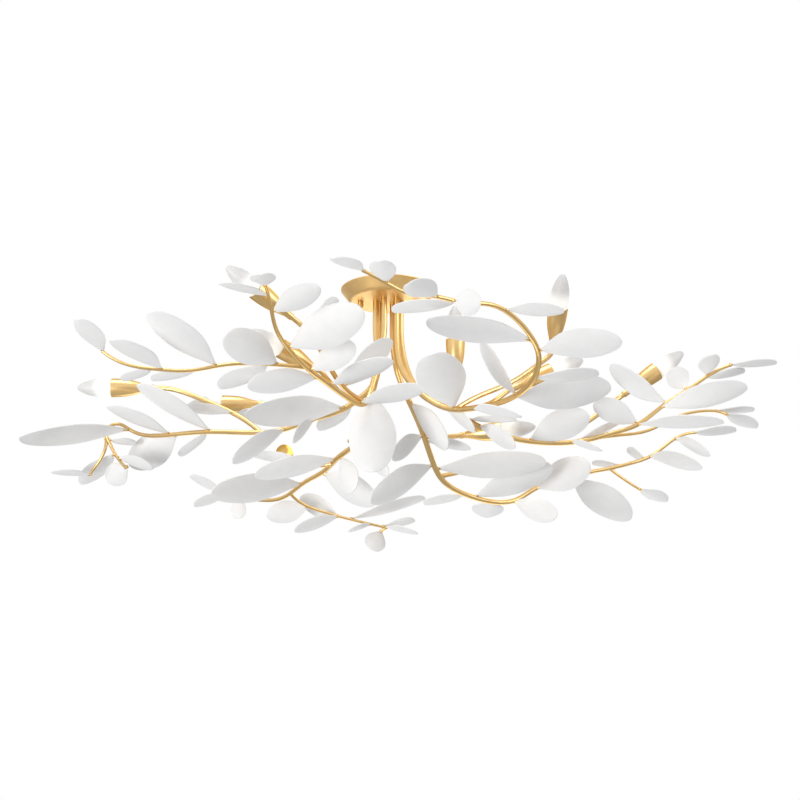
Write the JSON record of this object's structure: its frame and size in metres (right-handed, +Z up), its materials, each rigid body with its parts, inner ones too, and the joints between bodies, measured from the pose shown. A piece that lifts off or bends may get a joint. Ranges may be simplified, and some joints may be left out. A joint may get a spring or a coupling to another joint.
{
  "type": "semi-flush ceiling light",
  "caption": "Semi-flush ceiling light: curved gold branches spread from a round canopy, carrying white leaves and candle bulbs in tapered cups",
  "frame": {"origin": "centre of the canopy's ceiling face", "axes": "+Z up toward the ceiling, +X to the viewer's right, -Y toward the viewer"},
  "size_m": [1.1759, 0.9034, 0.3536],
  "materials": {
    "gold_leaf": "satin gold leaf",
    "white_leaf": "matte textured white",
    "zinc_steel": "satin zinc",
    "brass": "satin",
    "socket": "matte black",
    "lead_sleeve": "matte",
    "bulb_glass": "frosted"
  },
  "bodies": {
    "fixture": {"canopy": "gold_leaf", "stem_near_left": "gold_leaf", "stem_left": "gold_leaf", "stem_far_left": "gold_leaf", "stem_far_right": "gold_leaf", "stem_right": "gold_leaf", "stem_near_right": "gold_leaf", "branch_near_left": "gold_leaf", "branch_left": "gold_leaf", "branch_far_left": "gold_leaf", "branch_far_right": "gold_leaf", "branch_right": "gold_leaf", "branch_near_right": "gold_leaf", "branch_left_upper": "gold_leaf", "twigs": "gold_leaf", "lamp_arms": "gold_leaf", "lamp_cups_near_left": "gold_leaf", "lamp_cups_left": "gold_leaf", "lamp_cups_far_left": "gold_leaf", "lamp_cups_far_right": "gold_leaf", "lamp_cups_right": "gold_leaf", "lamp_cups_near_right": "gold_leaf", "leaves_left_upper": "white_leaf", "leaves_near_left": "white_leaf", "leaves_left": "white_leaf", "leaves_far_left": "white_leaf", "leaves_far_right": "white_leaf", "leaves_right": "white_leaf", "leaves_near_right": "white_leaf", "leaves_lamp_arms": "white_leaf", "crossbar": "zinc_steel", "stem_plate": "zinc_steel", "stem_washers": "zinc_steel", "stem_nuts": "zinc_steel", "canopy_studs": "zinc_steel", "stud_lock_nuts": "zinc_steel", "socket_nipples": "zinc_steel", "ground_screw": "brass", "socket_shells": "brass", "socket_contacts": "brass", "lamp_sockets": "socket", "lead_wires": "lead_sleeve"},
    "lamp_01": {"bulb_01": "bulb_glass"},
    "lamp_02": {"bulb_02": "bulb_glass"},
    "lamp_03": {"bulb_03": "bulb_glass"},
    "lamp_04": {"bulb_04": "bulb_glass"},
    "lamp_05": {"bulb_05": "bulb_glass"},
    "lamp_06": {"bulb_06": "bulb_glass"},
    "lamp_07": {"bulb_07": "bulb_glass"},
    "lamp_08": {"bulb_08": "bulb_glass"},
    "lamp_09": {"bulb_09": "bulb_glass"},
    "lamp_10": {"bulb_10": "bulb_glass"},
    "lamp_11": {"bulb_11": "bulb_glass"},
    "lamp_12": {"bulb_12": "bulb_glass"},
    "knob_1": {"knob_nut_1": "gold_leaf"},
    "knob_2": {"knob_nut_2": "gold_leaf"}
  },
  "joints": [
    {"name": "bulb_01_turn", "type": "hinge", "parent": "fixture", "child": "lamp_01", "pos_m": [-0.385, 0.045, -0.15], "axis": [-1, 0, 0], "range_deg": [0, 1080]},
    {"name": "bulb_02_turn", "type": "hinge", "parent": "fixture", "child": "lamp_02", "pos_m": [-0.145, -0.258, -0.127], "axis": [-0.7493, -0.4683, 0.4683], "range_deg": [0, 1080]},
    {"name": "bulb_03_turn", "type": "hinge", "parent": "fixture", "child": "lamp_03", "pos_m": [-0.112, -0.13, -0.169], "axis": [-0.8272, -0.4136, 0.3805], "range_deg": [0, 1080]},
    {"name": "bulb_04_turn", "type": "hinge", "parent": "fixture", "child": "lamp_04", "pos_m": [-0.21, 0.07, -0.17], "axis": [-0.9998, 0, -0.0182], "range_deg": [0, 1080]},
    {"name": "bulb_05_turn", "type": "hinge", "parent": "fixture", "child": "lamp_05", "pos_m": [0.105, -0.04, -0.156], "axis": [0, -0.0889, 0.996], "range_deg": [0, 1080]},
    {"name": "bulb_06_turn", "type": "hinge", "parent": "fixture", "child": "lamp_06", "pos_m": [0.25, -0.13, -0.133], "axis": [0.1027, -0.6164, 0.7807], "range_deg": [0, 1080]},
    {"name": "bulb_07_turn", "type": "hinge", "parent": "fixture", "child": "lamp_07", "pos_m": [0.386, 0.065, -0.15], "axis": [0.8087, 0, 0.5882], "range_deg": [0, 1080]},
    {"name": "bulb_08_turn", "type": "hinge", "parent": "fixture", "child": "lamp_08", "pos_m": [0.2, -0.065, -0.18], "axis": [0.9073, 0.0825, 0.4124], "range_deg": [0, 1080]},
    {"name": "bulb_09_turn", "type": "hinge", "parent": "fixture", "child": "lamp_09", "pos_m": [-0.175, 0.255, -0.21], "axis": [-0.1162, 0.93, 0.3487], "range_deg": [0, 1080]},
    {"name": "bulb_10_turn", "type": "hinge", "parent": "fixture", "child": "lamp_10", "pos_m": [-0.06, 0.195, -0.195], "axis": [0.2126, 0.9035, 0.372], "range_deg": [0, 1080]},
    {"name": "bulb_11_turn", "type": "hinge", "parent": "fixture", "child": "lamp_11", "pos_m": [0.123, 0.06, -0.224], "axis": [0.9831, -0.1638, 0.0819], "range_deg": [0, 1080]},
    {"name": "bulb_12_turn", "type": "hinge", "parent": "fixture", "child": "lamp_12", "pos_m": [0.145, 0.185, -0.25], "axis": [0.9239, 0.3553, 0.1421], "range_deg": [0, 1080]},
    {"name": "knob_1_turn", "type": "hinge", "parent": "fixture", "child": "knob_1", "pos_m": [0.04445, 0, -0.02], "axis": [0, 0, -1], "range_deg": [0, 1080]},
    {"name": "knob_2_turn", "type": "hinge", "parent": "fixture", "child": "knob_2", "pos_m": [-0.04445, 0, -0.02], "axis": [0, 0, -1], "range_deg": [0, 1080]}
  ]
}
